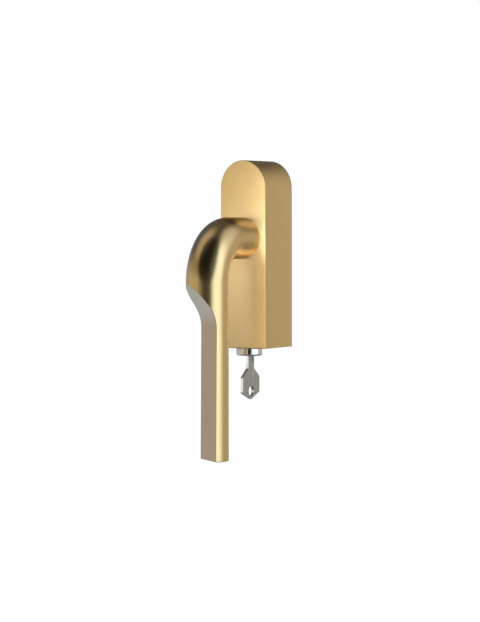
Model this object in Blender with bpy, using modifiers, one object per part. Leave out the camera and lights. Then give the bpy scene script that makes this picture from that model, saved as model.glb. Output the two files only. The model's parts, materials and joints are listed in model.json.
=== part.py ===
"""Key-lockable window handle with a round bent lever on a deep, round-headed cover.

Frame: the origin is where the spindle's axis meets the sash; +Z is up, +X is right as the
user sees the handle, and -Y points from the sash towards the user.
"""
import math

import bmesh
import bpy
from mathutils import Matrix, Vector

MM = 0.001

# Cover: a deep box with a square foot and a slightly pointed round head.
COVER_HALF_WIDTH = 15.2 * MM
COVER_TOP = 47.1 * MM
COVER_BOTTOM = -66.8 * MM
COVER_FRONT = -35.6 * MM
COVER_BACK = 0.0 * MM
COVER_WALL = 1.5 * MM
COVER_HEAD_RISE = 16.8 * MM
COVER_EDGE = 0.4 * MM
COVER_GRUB_Y = -9.0 * MM

# Lever: one round bar, bent through a right angle, with a flat down the grip that deepens
# towards its top and ends in a hollow and a ramp.
BAR_RADIUS = 12.6 * MM
NECK_END = -36.7 * MM
BEND_RADIUS = 26.0 * MM
GRIP_Y = -80.7 * MM
LEVER_END = -131.3 * MM
NECK_ROUNDING = 1.2 * MM
FLAT_TURN = math.radians(40.0)
FLAT_TOP_OFFSET = -1.0 * MM
FLAT_END_OFFSET = -0.4 * MM
FLAT_RAMP_TOP = -27.2 * MM
FLAT_RAMP_SLOPE = math.radians(36.7)
FLAT_ARC_RADIUS = 22.0 * MM

# Turning parts behind the neck, all on the lever's square shank.
JOURNAL_RADIUS = 8.0 * MM
JOURNAL_END = -29.9 * MM
SHANK_HALF = 5.5 * MM
SHANK_END = -9.0 * MM
SHANK_BORE_HALF = 5.7 * MM
SPINDLE_HALF = 3.5 * MM
SPINDLE_SOCKET_HALF = 3.65 * MM
SPINDLE_FRONT = -27.0 * MM
SPINDLE_BACK = 20.0 * MM
PIN_RADIUS = 1.5 * MM
PIN_HOLE_RADIUS = 1.65 * MM
PIN_Y = -11.5 * MM
DISC_RADIUS = 10.8 * MM
NOTCH_HALF_WIDTH = 3.1 * MM
NOTCH_FLOOR = 7.2 * MM
DETENT_TURN = math.radians(30.0)
DETENT_DEPTH = 0.8 * MM
BALL_RADIUS = 2.0 * MM
BALL_CENTRE = 12.95 * MM
DETENT_Y = -21.6 * MM
CLIP_GROOVE_RADIUS = 6.7 * MM
CLIP_FRONT = -15.9 * MM
CLIP_BACK = -14.7 * MM

# Fixed mechanism, fastened to the sash by two screws 43 mm apart.
CORE_HALF_WIDTH = 13.1 * MM
CORE_FRONT = -33.6 * MM
CORE_BACK = -3.3 * MM
CORE_BOTTOM = -64.0 * MM
CORE_TOP = 45.0 * MM
CORE_HEAD_RISE = 14.8 * MM
CAVITY_RADIUS = 11.7 * MM
CAVITY_FRONT = -30.0 * MM
NECK_BORE_RADIUS = 10.2 * MM
BASE_FRONT = -3.0 * MM
BASE_BOTTOM = -64.9 * MM
SPIGOT_RADIUS = 5.0 * MM
SPIGOT_END = 3.5 * MM
SCREW_OFFSET = 21.5 * MM
SCREW_RADIUS = 2.5 * MM
SCREW_HOLE_RADIUS = 2.8 * MM
SCREW_HEAD_RADIUS = 4.6 * MM
SCREW_SEAT = -8.0 * MM
SCREW_TIP = 20.5 * MM
HEAD_BORE_RADIUS = 5.3 * MM

# Lock: a cylinder that hangs through the cover's foot and lifts a slide into the lock disc.
LOCK_Y = -27.6 * MM
LOCK_RIM_RADIUS = 7.9 * MM
LOCK_RIM_BOTTOM = -71.6 * MM
LOCK_RIM_EDGE = -70.4 * MM
LOCK_RIM_FACE_RADIUS = 5.7 * MM
LOCK_RIM_TOP = -67.1 * MM
LOCK_BODY_RADIUS = 6.1 * MM
LOCK_BODY_TOP = -50.0 * MM
LOCK_BORE_RADIUS = 6.4 * MM
LOCK_GRUB_Z = -57.0 * MM
PLUG_RADIUS = 5.0 * MM
PLUG_BORE_RADIUS = 5.15 * MM
PLUG_BOTTOM = -71.15 * MM
PLUG_TOP = -48.3 * MM
TAIL_HALF = 1.8 * MM
TAIL_TOP = -44.9 * MM
WAFER_COUNT = 5
WAFER_FIRST = -68.5 * MM
WAFER_PITCH = 3.4 * MM
CAM_RADIUS = 4.9 * MM
CAM_BOTTOM = -48.0 * MM
CAM_FACE = -46.4 * MM
SLIDE_LIFT = 3.4 * MM
SLIDE_HALF_WIDTH = 8.0 * MM
SLIDE_HALF_THICKNESS = 1.5 * MM
SLIDE_SHOULDER = -14.6 * MM
SLIDE_NOSE = -11.3 * MM
SLIDE_BOTTOM = -43.6 * MM
FOOT_BOTTOM = -45.8 * MM
PEG_TOP = -32.7 * MM
PEG_BOTTOM = -34.2 * MM
SPRING_BOTTOM = -41.6 * MM

# Key: a flat blade a little off the plug's axis, a wider neck and a six-sided bow with a hole.
KEY_Y = LOCK_Y + 1.0 * MM
KEY_HALF_THICKNESS = 0.9 * MM
BLADE_HALF_WIDTH = 3.0 * MM
BLADE_TIP = -51.8 * MM
NECK_HALF_WIDTH = 3.75 * MM
NECK_TOP = -71.45 * MM
BOW_TOP = -79.5 * MM
BOW_HALF_WIDTH = 10.7 * MM
BOW_SHOULDER = 5.1 * MM
BOW_SIDE_END = 14.5 * MM
BOW_LENGTH = 18.7 * MM
BOW_HOLE_RADIUS = 3.25 * MM
BOW_HOLE_RISE = 5.0 * MM
KEY_GROOVE_END = -75.8 * MM

ROUND_STEPS = 32
SMALL_ROUND_STEPS = 20
OVERSHOOT = 2.0 * MM

# Finishes: colour, roughness, metallic.
BRASS = ((0.66, 0.46, 0.20), 0.34, 1.0)
CHROME = ((0.80, 0.80, 0.80), 0.08, 1.0)
NICKEL = ((0.42, 0.42, 0.41), 0.38, 1.0)
STEEL = ((0.55, 0.55, 0.56), 0.35, 1.0)
ZINC = ((0.48, 0.49, 0.50), 0.50, 1.0)
NYLON = ((0.04, 0.04, 0.04), 0.45, 0.0)

PARTS = "window_handle"
CUTTERS = "cutters"


def clear_scene():
    """Remove every object and earlier collection of the same names."""
    for thing in list(bpy.data.objects):
        bpy.data.objects.remove(thing, do_unlink=True)
    for name in (PARTS, CUTTERS):
        if name in bpy.data.collections:
            bpy.data.collections.remove(bpy.data.collections[name])
        bpy.context.scene.collection.children.link(bpy.data.collections.new(name))


# ---- Modelling helpers ----

def add_object(name, mesh):
    """Put a mesh in the parts collection."""
    piece = bpy.data.objects.new(name, mesh)
    bpy.data.collections[PARTS].objects.link(piece)
    return piece


def object_from_bmesh(name, bm, matrix=None):
    """Turn a bmesh into an object, moved by a matrix."""
    if matrix:
        bmesh.ops.transform(bm, matrix=matrix, verts=bm.verts)
    bmesh.ops.recalc_face_normals(bm, faces=bm.faces)
    mesh = bpy.data.meshes.new(name)
    bm.to_mesh(mesh)
    bm.free()
    return add_object(name, mesh)


def box(name, low, high):
    """A block between two corners."""
    bm = bmesh.new()
    bmesh.ops.create_cube(bm, size=1.0)
    low = Vector(low)
    high = Vector(high)
    size = Matrix.Diagonal((*(high - low), 1.0))
    return object_from_bmesh(name, bm, Matrix.Translation((low + high) / 2) @ size)


def cylinder(name, radius, start, end, steps=ROUND_STEPS):
    """A round bar between two points."""
    start = Vector(start)
    end = Vector(end)
    bm = bmesh.new()
    depth = (end - start).length
    bmesh.ops.create_cone(bm, cap_ends=True, segments=steps, radius1=radius, radius2=radius,
                          depth=depth)
    turn = Vector((0, 0, 1)).rotation_difference(end - start).to_matrix().to_4x4()
    return object_from_bmesh(name, bm, Matrix.Translation((start + end) / 2) @ turn)


def turned(name, profile, facing, centre=(0.0, 0.0, 0.0), closed=False, steps=ROUND_STEPS):
    """A turned shape: profile holds (radius, height) from the top down its outer side.

    facing is the way that the profile's height points, "front" (-Y) or "up" (+Z).
    """
    mesh = bpy.data.meshes.new(name)
    count = len(profile)
    edges = [(i, i + 1) for i in range(count - 1)]
    if closed:
        edges.append((count - 1, 0))
    mesh.from_pydata([(radius, 0.0, height) for radius, height in profile], edges, [])
    piece = add_object(name, mesh)
    piece.location = centre
    if facing == "front":
        piece.rotation_euler = (math.radians(90.0), 0.0, 0.0)
    screw = piece.modifiers.new("turn", "SCREW")
    screw.axis = "Z"
    screw.angle = math.tau
    screw.steps = steps
    screw.render_steps = steps
    screw.use_merge_vertices = True
    screw.merge_threshold = 0.00001
    screw.use_smooth_shade = True
    return piece


def ring(name, inner, outer, bottom, top, facing, centre=(0.0, 0.0, 0.0), steps=ROUND_STEPS):
    """A flat ring from bottom to top along its facing direction."""
    profile = [(inner, top), (outer, top), (outer, bottom), (inner, bottom)]
    return turned(name, profile, facing, centre, closed=True, steps=steps)


def mesh_from_curve(curve_object):
    """Replace a curve object by a closed mesh of the same shape and name."""
    bpy.context.view_layer.update()
    depsgraph = bpy.context.evaluated_depsgraph_get()
    mesh = bpy.data.meshes.new_from_object(curve_object.evaluated_get(depsgraph))
    bm = bmesh.new()
    bm.from_mesh(mesh)
    bmesh.ops.remove_doubles(bm, verts=bm.verts, dist=0.000005)
    bmesh.ops.recalc_face_normals(bm, faces=bm.faces)
    bm.to_mesh(mesh)
    bm.free()
    name = curve_object.name
    place = curve_object.matrix_world.copy()
    bpy.data.objects.remove(curve_object, do_unlink=True)
    piece = add_object(name, mesh)
    piece.matrix_world = place
    return piece


PLATE_TURNS = {
    "Z": (0.0, 0.0, 0.0),
    "Y": (math.radians(90.0), 0.0, 0.0),
    "X": (math.radians(90.0), 0.0, math.radians(90.0)),
}


def plate(name, outlines, normal, low, high, centre=(0.0, 0.0)):
    """A flat plate: the first outline is its edge and any others are holes in it.

    normal "Z" takes outlines in (x, y), "Y" in (x, z) and "X" in (y, z).
    """
    curve = bpy.data.curves.new(name, "CURVE")
    curve.dimensions = "2D"
    curve.fill_mode = "BOTH"
    curve.extrude = (high - low) / 2
    for outline in outlines:
        spline = curve.splines.new("POLY")
        spline.points.add(len(outline) - 1)
        for point, (u, v) in zip(spline.points, outline):
            point.co = (u, v, 0.0, 1.0)
        spline.use_cyclic_u = True
    piece = bpy.data.objects.new(name, curve)
    bpy.data.collections[PARTS].objects.link(piece)
    piece.rotation_euler = PLATE_TURNS[normal]
    middle = (low + high) / 2
    places = {
        "Z": (centre[0], centre[1], middle),
        "Y": (centre[0], middle, centre[1]),
        "X": (middle, centre[0], centre[1]),
    }
    piece.location = places[normal]
    return mesh_from_curve(piece)


def tube(name, points, radius, resolution):
    """A round wire or bar along a line of points, with filled ends."""
    curve = bpy.data.curves.new(name, "CURVE")
    curve.dimensions = "3D"
    curve.bevel_depth = radius
    curve.bevel_resolution = resolution
    curve.use_fill_caps = True
    spline = curve.splines.new("POLY")
    spline.points.add(len(points) - 1)
    for point, place in zip(spline.points, points):
        point.co = (*place, 1.0)
    piece = bpy.data.objects.new(name, curve)
    bpy.data.collections[PARTS].objects.link(piece)
    return mesh_from_curve(piece)


def combine(piece, tool, operation):
    """Join a hidden tool to a piece, or cut it away."""
    step = piece.modifiers.new(tool.name, "BOOLEAN")
    step.operation = operation
    step.solver = "EXACT"
    step.object = tool
    bpy.data.collections[PARTS].objects.unlink(tool)
    bpy.data.collections[CUTTERS].objects.link(tool)
    tool.hide_render = True
    tool.display_type = "WIRE"


def cut(piece, *tools):
    """Cut each tool's shape out of the piece."""
    for tool in tools:
        combine(piece, tool, "DIFFERENCE")


def join(piece, *tools):
    """Add each tool's shape to the piece."""
    for tool in tools:
        combine(piece, tool, "UNION")


def bevel_edges(piece, width, segments, wanted):
    """Round the sharp edges whose middle, in world space, passes the wanted test."""
    bm = bmesh.new()
    bm.from_mesh(piece.data)
    chosen = []
    for edge in bm.edges:
        middle = piece.matrix_world @ ((edge.verts[0].co + edge.verts[1].co) / 2)
        sharp = edge.calc_face_angle(0.0) > math.radians(50.0)
        if sharp and wanted(middle):
            chosen.append(edge)
    bmesh.ops.bevel(bm, geom=chosen, offset=width, segments=segments, profile=0.5,
                    affect="EDGES", clamp_overlap=True)
    bm.to_mesh(piece.data)
    bm.free()


def finish(piece, look):
    """Give a piece its own material and smooth its round faces."""
    colour, roughness, metallic = look
    material = bpy.data.materials.new(piece.name + "_finish")
    material.use_nodes = True
    shader = material.node_tree.nodes["Principled BSDF"]
    shader.inputs["Base Color"].default_value = (*colour, 1.0)
    shader.inputs["Roughness"].default_value = roughness
    shader.inputs["Metallic"].default_value = metallic
    piece.data.materials.clear()
    piece.data.materials.append(material)
    piece.data.shade_smooth()
    piece.data.set_sharp_from_angle(angle=math.radians(30.0))
    return piece


# ---- Outlines ----

def arc(radius, start, end, steps, centre=(0.0, 0.0)):
    """Points along an arc, angles in radians."""
    angles = [start + (end - start) * step / steps for step in range(steps + 1)]
    return [(centre[0] + radius * math.cos(a), centre[1] + radius * math.sin(a)) for a in angles]


def circle(radius, steps=SMALL_ROUND_STEPS, centre=(0.0, 0.0)):
    """Points round a circle."""
    return arc(radius, 0.0, math.tau, steps, centre)[:-1]


def rectangle(low_u, low_v, high_u, high_v):
    """The four corners of a rectangle."""
    return [(low_u, low_v), (high_u, low_v), (high_u, high_v), (low_u, high_v)]


def square(half):
    """The four corners of a centred square."""
    return rectangle(-half, -half, half, half)


def round_headed(half_width, bottom, top, rise, steps=28):
    """A square foot and a half-ellipse head."""
    head = arc(1.0, 0.0, math.pi, steps)
    spring = top - rise
    return [(-half_width, bottom), (half_width, bottom)] + [
        (half_width * x, spring + rise * z) for x, z in head]


def notched_disc(radius, half_width, floor, count=4):
    """A disc with square notches at equal angles."""
    edge = math.asin(half_width / radius)
    step = math.tau / count
    points = []
    for index in range(count):
        turn = index * step
        corners = [(floor, -half_width), (floor, half_width)]
        points += [(u * math.cos(turn) - v * math.sin(turn), u * math.sin(turn) + v * math.cos(turn))
                   for u, v in corners]
        points += arc(radius, turn + edge, turn + step - edge, 6)
    return points


def grooved_disc(radius, depth, turn, count=4, steps=96):
    """A disc with shallow rounded grooves at +turn and -turn from each quarter."""
    width = math.radians(9.0)
    points = []
    for index in range(steps):
        angle = math.tau * index / steps
        dip = 0.0
        for centre in (turn, -turn):
            away = (angle - centre + math.pi / count) % (math.tau / count) - math.pi / count
            if abs(away) < width:
                dip = depth * math.cos(away / width * math.pi / 2)
        points.append(((radius - dip) * math.cos(angle), (radius - dip) * math.sin(angle)))
    return points


def open_ring(inner, outer, gap):
    """A snap ring, open at its lowest point."""
    start = -math.pi / 2 + gap / 2
    end = 3 * math.pi / 2 - gap / 2
    return arc(outer, start, end, 24) + arc(inner, end, start, 24)


def coil(start, end, radius, turns, steps=10):
    """Points along a coil between two points."""
    start = Vector(start)
    end = Vector(end)
    axis = (end - start).normalized()
    side = axis.orthogonal().normalized()
    other = axis.cross(side)
    points = []
    for index in range(turns * steps + 1):
        angle = math.tau * index / steps
        along = start.lerp(end, index / (turns * steps))
        points.append(along + radius * (math.cos(angle) * side + math.sin(angle) * other))
    return points


# ---- Fixed body ----

def make_cover():
    outline = round_headed(COVER_HALF_WIDTH, COVER_BOTTOM, COVER_TOP, COVER_HEAD_RISE)
    cover = plate("cover", [outline], "Y", COVER_FRONT, COVER_BACK)
    bevel_edges(cover, COVER_EDGE, 2, lambda middle: middle.y < COVER_BACK - COVER_EDGE)
    inside = round_headed(COVER_HALF_WIDTH - COVER_WALL, COVER_BOTTOM + COVER_WALL,
                          COVER_TOP - COVER_WALL, COVER_HEAD_RISE - COVER_WALL)
    hollow = plate("cover_hollow", [inside], "Y", COVER_FRONT + COVER_WALL, OVERSHOOT)
    neck_hole = cylinder("cover_neck_hole", NECK_BORE_RADIUS,
                         (0, COVER_FRONT - OVERSHOOT, 0), (0, COVER_FRONT + 2 * OVERSHOOT, 0), 40)
    foot = COVER_BOTTOM - OVERSHOOT
    head = COVER_BOTTOM + 2 * OVERSHOOT
    lock_hole = cylinder("cover_lock_hole", LOCK_BORE_RADIUS, (0, LOCK_Y, foot), (0, LOCK_Y, head))
    grub_y = COVER_GRUB_Y
    grub_hole = cylinder("cover_grub_hole", 1.7 * MM, (0, grub_y, foot), (0, grub_y, head), 16)
    cut(cover, hollow, neck_hole, lock_hole, grub_hole)
    return finish(cover, BRASS)


def make_base_plate():
    outline = round_headed(CORE_HALF_WIDTH, BASE_BOTTOM, CORE_TOP, CORE_HEAD_RISE)
    base = plate("base_plate", [outline, circle(6.0 * MM, 24)], "Y", BASE_FRONT, 0.0)
    for side in (-1, 1):
        z = side * SCREW_OFFSET
        spigot = cylinder(f"spigot_{side}", SPIGOT_RADIUS, (0, -MM, z), (0, SPIGOT_END, z), 24)
        join(base, spigot)
        hole = cylinder(f"base_screw_hole_{side}", 2.7 * MM, (0, -0.01, z), (0, 0.01, z), 20)
        cut(base, hole)
    return finish(base, ZINC)


def make_housing():
    outline = round_headed(CORE_HALF_WIDTH, CORE_BOTTOM, CORE_TOP, CORE_HEAD_RISE)
    housing = plate("mechanism_housing", [outline], "Y", CORE_FRONT, CORE_BACK)
    front = CORE_FRONT - OVERSHOOT
    back = CORE_BACK + OVERSHOOT
    cut(housing,
        cylinder("housing_neck_bore", NECK_BORE_RADIUS, (0, front, 0), (0, CAVITY_FRONT + MM, 0), 40),
        cylinder("housing_cavity", CAVITY_RADIUS, (0, CAVITY_FRONT, 0), (0, back, 0), 48))
    for side in (-1, 1):
        z = side * SCREW_OFFSET
        cut(housing,
            cylinder(f"head_bore_{side}", HEAD_BORE_RADIUS, (0, front, z), (0, SCREW_SEAT, z), 24),
            cylinder(f"screw_bore_{side}", SCREW_HOLE_RADIUS, (0, SCREW_SEAT - MM, z), (0, back, z), 20))
        away = Vector((side * math.sin(DETENT_TURN), 0, math.cos(DETENT_TURN)))
        middle = Vector((0, DETENT_Y, 0))
        cut(housing, cylinder(f"detent_bore_{side}", 2.3 * MM, middle + away * 10 * MM,
                              middle + away * 20 * MM, 20))
    slot_y = 1.8 * MM
    cut(housing,
        box("slide_slot", (-8.5 * MM, LOCK_Y - slot_y, -45 * MM), (8.5 * MM, LOCK_Y + slot_y, -9 * MM)),
        cylinder("lock_bore", LOCK_BORE_RADIUS, (0, LOCK_Y, CORE_BOTTOM - OVERSHOOT),
                 (0, LOCK_Y, -41 * MM)),
        cylinder("lock_grub_bore", 2.2 * MM, (0, LOCK_Y, LOCK_GRUB_Z), (0, back, LOCK_GRUB_Z), 16),
        cylinder("cover_grub_bore", 1.7 * MM, (0, COVER_GRUB_Y, CORE_BOTTOM - OVERSHOOT),
                 (0, COVER_GRUB_Y, -59.5 * MM), 16))
    join(housing, box("spring_peg", (-1.4 * MM, LOCK_Y - slot_y - MM, PEG_BOTTOM),
                      (1.4 * MM, LOCK_Y + SLIDE_HALF_THICKNESS, PEG_TOP)))
    return finish(housing, ZINC)


def make_neck_bush():
    top = -COVER_FRONT + 0.8 * MM
    under_flange = -COVER_FRONT + 0.3 * MM
    bottom = -CAVITY_FRONT + 0.6 * MM
    inner = JOURNAL_RADIUS + 0.2 * MM
    sleeve = NECK_BORE_RADIUS - 0.3 * MM
    profile = [(inner, top), (DISC_RADIUS, top), (DISC_RADIUS, under_flange),
               (sleeve, under_flange), (sleeve, bottom), (inner, bottom)]
    return finish(turned("neck_bush", profile, "front", closed=True, steps=40), NYLON)


def make_screw(name, z):
    """A pan-head screw with a cross recess, its head towards the user."""
    seat = -SCREW_SEAT + 0.3 * MM
    top = seat + 3.2 * MM
    tip = -SCREW_TIP
    profile = [(0, top), (3.4 * MM, top), (SCREW_HEAD_RADIUS, top - MM), (SCREW_HEAD_RADIUS, seat),
               (SCREW_RADIUS, seat), (SCREW_RADIUS, tip + 2 * MM), (1.2 * MM, tip), (0, tip)]
    screw = turned(name, profile, "front", centre=(0, 0, z), steps=20)
    long = 2.4 * MM
    short = 0.5 * MM
    floor = -top + 1.8 * MM
    cut(screw,
        box(name + "_slot_a", (-long, -top - MM, z - short), (long, floor, z + short)),
        box(name + "_slot_b", (-short, -top - MM, z - long), (short, floor, z + long)))
    return finish(screw, STEEL)


def make_grub_screw(name, radius, start, end, socket_end):
    """A headless screw with a hexagon socket in the end given first."""
    screw = cylinder(name, radius, start, end, 16)
    cut(screw, cylinder(name + "_socket", radius * 0.55, socket_end,
                        Vector(start).lerp(Vector(end), 0.45), 6))
    return finish(screw, STEEL)


def make_cover_grub():
    outer = (0, COVER_GRUB_Y, COVER_BOTTOM + 0.6 * MM)
    inner = (0, COVER_GRUB_Y, -60.2 * MM)
    return make_grub_screw("cover_grub_screw", 1.45 * MM, outer, inner,
                           (0, COVER_GRUB_Y, COVER_BOTTOM))


def make_lock_grub():
    outer = (0, -14.0 * MM, LOCK_GRUB_Z)
    inner = (0, LOCK_Y + LOCK_BODY_RADIUS + 0.4 * MM, LOCK_GRUB_Z)
    return make_grub_screw("cylinder_grub_screw", 1.9 * MM, outer, inner, (0, -12 * MM, LOCK_GRUB_Z))


def make_detent(side, word):
    """A ball and its spring in one of the housing's sloping bores."""
    away = Vector((side * math.sin(DETENT_TURN), 0, math.cos(DETENT_TURN)))
    middle = Vector((0, DETENT_Y, 0))
    bm = bmesh.new()
    bmesh.ops.create_uvsphere(bm, u_segments=16, v_segments=10, radius=BALL_RADIUS)
    ball = object_from_bmesh("detent_ball_" + word, bm, Matrix.Translation(middle + away * BALL_CENTRE))
    start = middle + away * 15.4 * MM
    end = middle + away * 19.6 * MM
    spring = tube("detent_spring_" + word, coil(start, end, 1.5 * MM, 4), 0.25 * MM, 1)
    return [finish(ball, STEEL), finish(spring, STEEL)]


def make_lock_cylinder():
    crown = [(LOCK_RIM_FACE_RADIUS + (LOCK_RIM_RADIUS - LOCK_RIM_FACE_RADIUS) * across,
              LOCK_RIM_EDGE + (LOCK_RIM_EDGE - LOCK_RIM_BOTTOM) * down)
             for across, down in arc(1.0, 0.0, -math.pi / 2, 4)]
    profile = [(PLUG_BORE_RADIUS, LOCK_BODY_TOP), (LOCK_BODY_RADIUS, LOCK_BODY_TOP),
               (LOCK_BODY_RADIUS, LOCK_RIM_TOP), (LOCK_RIM_RADIUS, LOCK_RIM_TOP),
               *crown, (PLUG_BORE_RADIUS, LOCK_RIM_BOTTOM)]
    body = turned("lock_cylinder", profile, "up", centre=(0, LOCK_Y, 0), closed=True, steps=40)
    return finish(body, CHROME)


# ---- Turning lever ----

def lever_line():
    """Centre line of the bar: out from the cover, round the bend and down the grip."""
    bend_start = GRIP_Y + BEND_RADIUS
    steps = 14
    points = [(0, NECK_END, 0)]
    for step in range(steps + 1):
        turn = math.pi / 2 * step / steps
        points.append((0, bend_start - BEND_RADIUS * math.sin(turn),
                       BEND_RADIUS * (math.cos(turn) - 1)))
    points.append((0, GRIP_Y, LEVER_END))
    return points


def make_flat_cutter():
    """The waste above the grip's flat: a ramp, a hollow and a straight run to the end.

    The outline is in distance from the bar's axis, along the flat's normal, and height.
    """
    beyond = BAR_RADIUS * 1.6
    slope = math.tan(FLAT_RAMP_SLOPE)
    arc_top = FLAT_TOP_OFFSET + FLAT_ARC_RADIUS * (1 - math.cos(FLAT_RAMP_SLOPE))
    arc_top_z = FLAT_RAMP_TOP - (BAR_RADIUS - arc_top) / slope
    centre = (FLAT_TOP_OFFSET + FLAT_ARC_RADIUS,
              arc_top_z - FLAT_ARC_RADIUS * math.sin(FLAT_RAMP_SLOPE))
    hollow = arc(FLAT_ARC_RADIUS, math.pi - FLAT_RAMP_SLOPE, math.pi, 7, centre)
    run_out = 5.0 * MM
    outline = [(beyond, FLAT_RAMP_TOP + (beyond - BAR_RADIUS) / slope), *hollow,
               (FLAT_END_OFFSET, LEVER_END), (FLAT_END_OFFSET, LEVER_END - run_out),
               (beyond, LEVER_END - run_out)]
    cutter = plate("grip_flat", [outline], "Y", -20 * MM, 20 * MM)
    cutter.rotation_euler.z = -(math.pi / 2 + FLAT_TURN)
    cutter.location = (0, GRIP_Y, 0)
    return cutter


def make_lever():
    lever = tube("lever", lever_line(), BAR_RADIUS, 18)
    bevel_edges(lever, NECK_ROUNDING, 3, lambda middle: middle.y > NECK_END - 0.1 * MM)
    bevel_edges(lever, 0.4 * MM, 1, lambda middle: middle.z < LEVER_END + 0.1 * MM)
    join(lever,
         cylinder("journal", JOURNAL_RADIUS, (0, NECK_END - 4 * MM, 0), (0, JOURNAL_END, 0)),
         box("shank", (-SHANK_HALF, JOURNAL_END - 3 * MM, -SHANK_HALF), (SHANK_HALF, SHANK_END, SHANK_HALF)))
    half = SPINDLE_SOCKET_HALF
    cut(lever, make_flat_cutter(),
        box("spindle_socket", (-half, SPINDLE_FRONT - 0.3 * MM, -half), (half, SHANK_END + OVERSHOOT, half)),
        cylinder("shank_pin_hole", PIN_HOLE_RADIUS, (-9 * MM, PIN_Y, 0), (9 * MM, PIN_Y, 0), 16),
        ring("clip_groove", CLIP_GROOVE_RADIUS, 9 * MM, -CLIP_BACK - 0.2 * MM, -CLIP_FRONT + 0.2 * MM,
             "front"))
    return finish(lever, BRASS)


def make_spindle():
    half = SPINDLE_HALF
    spindle = box("spindle", (-half, SPINDLE_FRONT, -half), (half, SPINDLE_BACK, half))
    bevel_edges(spindle, 0.6 * MM, 1, lambda middle: middle.y > SPINDLE_BACK - 0.1 * MM)
    cut(spindle, cylinder("spindle_pin_hole", PIN_HOLE_RADIUS, (-9 * MM, PIN_Y, 0), (9 * MM, PIN_Y, 0), 16))
    pin = cylinder("spindle_pin", PIN_RADIUS, (-5.2 * MM, PIN_Y, 0), (5.2 * MM, PIN_Y, 0), 16)
    return [finish(spindle, STEEL), finish(pin, STEEL)]


def make_lock_disc():
    outlines = [notched_disc(DISC_RADIUS, NOTCH_HALF_WIDTH, NOTCH_FLOOR), square(SHANK_BORE_HALF)]
    return finish(plate("lock_disc", outlines, "Y", -29.5 * MM, -25.0 * MM), STEEL)


def make_detent_disc():
    quarter_offset = math.pi / 2 - DETENT_TURN
    outlines = [grooved_disc(DISC_RADIUS, DETENT_DEPTH, quarter_offset), square(SHANK_BORE_HALF)]
    return finish(plate("detent_disc", outlines, "Y", -24.6 * MM, -18.6 * MM), STEEL)


def make_washer_and_clip():
    washer = ring("thrust_washer", 8.1 * MM, 10.6 * MM, 16.6 * MM, 18.2 * MM, "front")
    outline = open_ring(CLIP_GROOVE_RADIUS + 0.2 * MM, 9.6 * MM, math.radians(60.0))
    clip = plate("retaining_clip", [outline], "Y", CLIP_FRONT, CLIP_BACK)
    return [finish(washer, NYLON), finish(clip, STEEL)]


# ---- Turning lock plug ----

def wafer_heights():
    return [WAFER_FIRST + index * WAFER_PITCH for index in range(WAFER_COUNT)]


def make_lock_plug():
    plug = cylinder("lock_plug", PLUG_RADIUS, (0, LOCK_Y, PLUG_BOTTOM), (0, LOCK_Y, PLUG_TOP))
    for index, z in enumerate(wafer_heights()):
        cut(plug, box(f"wafer_slot_{index + 1}", (-3 * MM, LOCK_Y - 6 * MM, z - 0.6 * MM),
                      (3 * MM, LOCK_Y + 6 * MM, z + 0.6 * MM)))
    keyway_x = KEY_HALF_THICKNESS + 0.25 * MM
    keyway_y = BLADE_HALF_WIDTH + 0.3 * MM
    cut(plug,
        box("keyway", (-keyway_x, KEY_Y - keyway_y, PLUG_BOTTOM - MM),
            (keyway_x, KEY_Y + keyway_y, BLADE_TIP + 0.6 * MM)),
        ring("plug_groove", 4.0 * MM, 6.0 * MM, -49.75 * MM, -48.85 * MM, "up", (0, LOCK_Y, 0), 36))
    join(plug, box("plug_tail", (-TAIL_HALF, LOCK_Y - TAIL_HALF, PLUG_TOP - MM),
                   (TAIL_HALF, LOCK_Y + TAIL_HALF, TAIL_TOP)))
    return finish(plug, CHROME)


def make_wafers():
    """Five thin plates, flat-sided, each with a window that the key's blade passes."""
    radius = 4.8 * MM
    flat = math.acos(2.7 / 4.8)
    edge = arc(radius, flat, math.pi - flat, 8) + arc(radius, math.pi + flat, math.tau - flat, 8)
    side = KEY_HALF_THICKNESS + 0.25 * MM
    end = BLADE_HALF_WIDTH + 0.3 * MM
    window = rectangle(-side, KEY_Y - LOCK_Y - end, side, KEY_Y - LOCK_Y + end)
    wafers = []
    for index, z in enumerate(wafer_heights()):
        wafer = plate(f"wafer_{index + 1}", [edge, window], "Z", z - 0.4 * MM, z + 0.4 * MM, (0, LOCK_Y))
        wafers.append(finish(wafer, BRASS))
    return wafers


def make_plug_clip():
    outline = open_ring(4.2 * MM, 5.9 * MM, math.radians(70.0))
    clip = plate("plug_clip", [outline], "Z", -49.6 * MM, -49.0 * MM, (0, LOCK_Y))
    return finish(clip, STEEL)


def cam_rise(angle):
    """Height of the cam's face: two equal ramps, each climbing over a quarter turn."""
    along = (-angle) % math.pi
    quarter = math.pi / 2
    dwell_end = quarter + math.radians(24.0)
    fall_end = dwell_end + math.radians(15.0)
    if along <= quarter:
        return SLIDE_LIFT * along / quarter
    if along <= dwell_end:
        return SLIDE_LIFT
    if along <= fall_end:
        return SLIDE_LIFT * (fall_end - along) / (fall_end - dwell_end)
    return 0.0


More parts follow.
